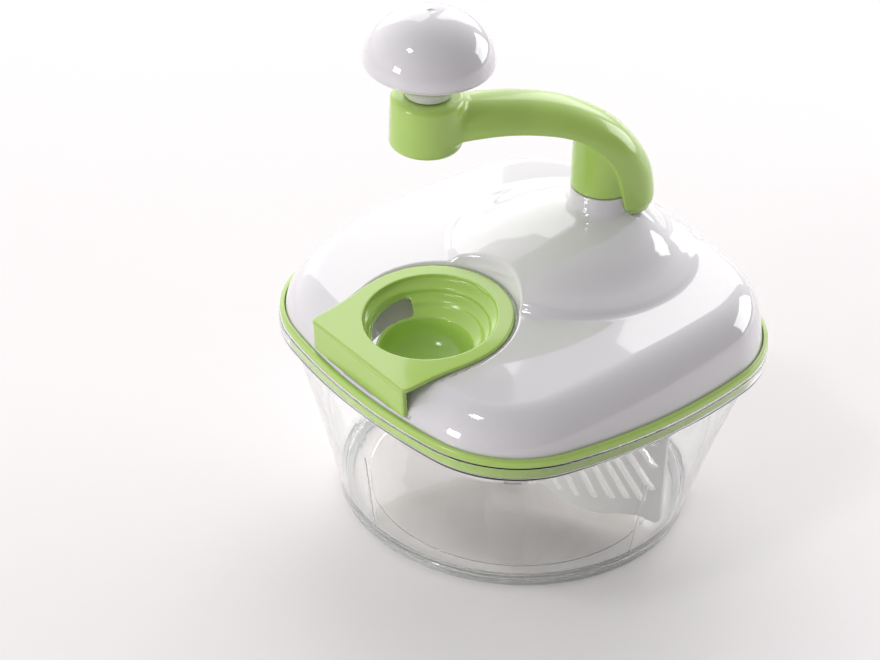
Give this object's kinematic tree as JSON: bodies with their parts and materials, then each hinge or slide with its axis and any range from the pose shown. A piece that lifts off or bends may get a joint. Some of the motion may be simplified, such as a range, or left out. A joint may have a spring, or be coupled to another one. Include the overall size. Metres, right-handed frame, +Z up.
{
  "type": "crank food chopper",
  "caption": "Hand-cranked food chopper: clear square-topped bowl, geared white lid with off-centre crank and knob, rotating slotted paddle and lift-out egg separator.",
  "frame": {"origin": "centre of the bowl's foot, on the surface it stands on", "axes": "+Z up, +X from the fill hole towards the crank, the lid's mirror plane is XZ"},
  "size_m": [0.1818, 0.1818, 0.2268],
  "materials": {
    "clear_plastic": "clear, polished",
    "clear_rubber": "translucent, soft",
    "steel": "turned",
    "white_tool_plastic": "satin white",
    "gear_plastic": "natural acetal",
    "white_gloss_plastic": "high gloss white",
    "green_gloss_plastic": "high gloss lime green"
  },
  "bodies": {
    "bowl": {"bowl": "clear_plastic", "foot_ring": "clear_rubber", "pivot_pin": "steel"},
    "lid": {"lid_cover": "white_gloss_plastic", "rim_band": "green_gloss_plastic", "gear_plate": "white_tool_plastic", "plate_screws": "steel", "crank_bush": "gear_plastic", "pinion_bush": "gear_plastic"},
    "crank": {"crank_arm": "green_gloss_plastic", "crank_shaft": "steel", "crank_gear": "gear_plastic", "gear_washer": "steel", "gear_screw": "steel", "knob_axle": "steel", "knob_keeper": "steel"},
    "knob": {"knob_cap": "white_gloss_plastic", "knob_base": "white_gloss_plastic"},
    "drive": {"drive_pinion": "gear_plastic", "hex_drive": "steel"},
    "tool": {"tool_sleeve": "white_tool_plastic", "paddle": "white_tool_plastic"},
    "separator": {"egg_separator": "green_gloss_plastic"}
  },
  "joints": [
    {"name": "lid_lift", "type": "slide", "parent": "bowl", "child": "lid", "axis": [0, 0, 1], "range_m": [0, 0.08]},
    {"name": "crank_spin", "type": "hinge", "parent": "lid", "child": "crank", "pos_m": [0.039, 0, 0.125], "axis": [0, 0, 1], "continuous": true},
    {"name": "knob_spin", "type": "hinge", "parent": "crank", "child": "knob", "pos_m": [-0.0314, 0.0312, 0.195], "axis": [0, 0, 1], "continuous": true},
    {"name": "drive_spin", "type": "hinge", "parent": "lid", "child": "drive", "pos_m": [0, 0, 0.1], "axis": [0, 0, 1], "continuous": true},
    {"name": "tool_spin", "type": "hinge", "parent": "bowl", "child": "tool", "pos_m": [0, 0, 0.03], "axis": [0, 0, 1], "continuous": true},
    {"name": "separator_tilt", "type": "hinge", "parent": "lid", "child": "separator", "pos_m": [-0.01647, 0, 0.10712], "axis": [0, 1, 0], "range_deg": [0, 48]}
  ],
  "couplings": [
    {"joint": "drive_spin", "follows": "crank_spin", "ratio": -2.25},
    {"joint": "tool_spin", "follows": "crank_spin", "ratio": -2.25}
  ]
}
